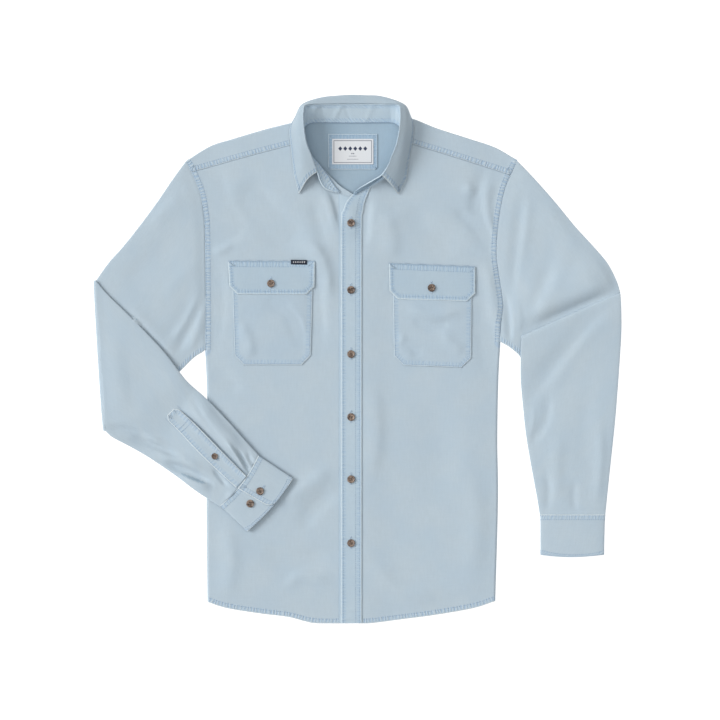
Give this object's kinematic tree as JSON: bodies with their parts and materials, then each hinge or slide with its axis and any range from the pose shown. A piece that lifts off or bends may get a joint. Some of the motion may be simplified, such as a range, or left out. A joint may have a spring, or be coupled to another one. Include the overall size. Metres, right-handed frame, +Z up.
{
  "type": "denim shirt laid flat",
  "caption": "Long-sleeved button-front shirt in washed denim, laid flat on its back with a sleeve folded over the body; point collar, flapped chest pockets.",
  "frame": {"origin": "centre of the laid shirt's box, on the surface that it lies on", "axes": "+Z up out of the surface, +Y towards the collar, +X towards the wearer's left"},
  "size_m": [0.7808, 0.7821, 0.0355],
  "materials": {
    "denim": "light washed blue denim, matt, with darker seams and pale edges",
    "horn_button": "mottled brown tortoiseshell, half gloss",
    "woven_label": "white woven label with a thin dark border and no lettering",
    "woven_tab": "black woven tab, plain",
    "thread": "tonal light blue sewing thread"
  },
  "bodies": {
    "root": {"back": "denim", "right_front": "denim", "left_front": "denim", "yoke": "denim", "button_stand": "denim", "placket": "denim", "collar_stand": "denim", "collar": "denim", "right_sleeve": "denim", "left_sleeve": "denim", "right_cuff": "denim", "left_cuff": "denim", "right_gauntlet": "denim", "left_gauntlet": "denim", "right_pocket": "denim", "left_pocket": "denim", "right_flap": "denim", "left_flap": "denim", "neck_patch": "denim", "front_button_1": "horn_button", "front_button_2": "horn_button", "front_button_3": "horn_button", "front_button_4": "horn_button", "front_button_5": "horn_button", "front_button_6": "horn_button", "right_flap_button": "horn_button", "left_flap_button": "horn_button", "right_cuff_button_1": "horn_button", "right_cuff_button_2": "horn_button", "left_cuff_button_1": "horn_button", "left_cuff_button_2": "horn_button", "right_gauntlet_button": "horn_button", "left_gauntlet_button": "horn_button", "collar_button": "horn_button", "neck_label": "woven_label", "flap_tab": "woven_tab"}
  },
  "joints": []
}
